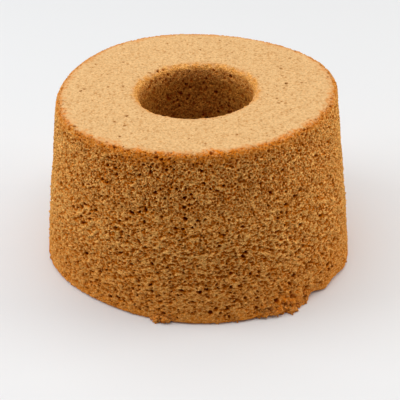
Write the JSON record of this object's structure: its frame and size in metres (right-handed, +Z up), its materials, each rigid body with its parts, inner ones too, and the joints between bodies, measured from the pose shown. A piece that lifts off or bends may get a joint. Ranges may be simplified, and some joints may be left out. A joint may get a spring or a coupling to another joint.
{
  "type": "chiffon cake",
  "caption": "Ring-shaped chiffon sponge cake with tapering sides, a flat pale top and a tapered hole through the middle, standing on its wide torn-edged foot.",
  "frame": {"origin": "on the surface the cake stands on, under the middle of its outline", "axes": "+Z up along the hole, from the wide foot to the narrow top; -Y is the side with the torn edge"},
  "size_m": [0.12, 0.1196, 0.0668],
  "materials": {
    "crumb": "soft matte open crumb, paler and smoother on top, orange-brown along the rim and the foot"
  },
  "bodies": {
    "root": {"cake": "crumb"}
  },
  "joints": []
}
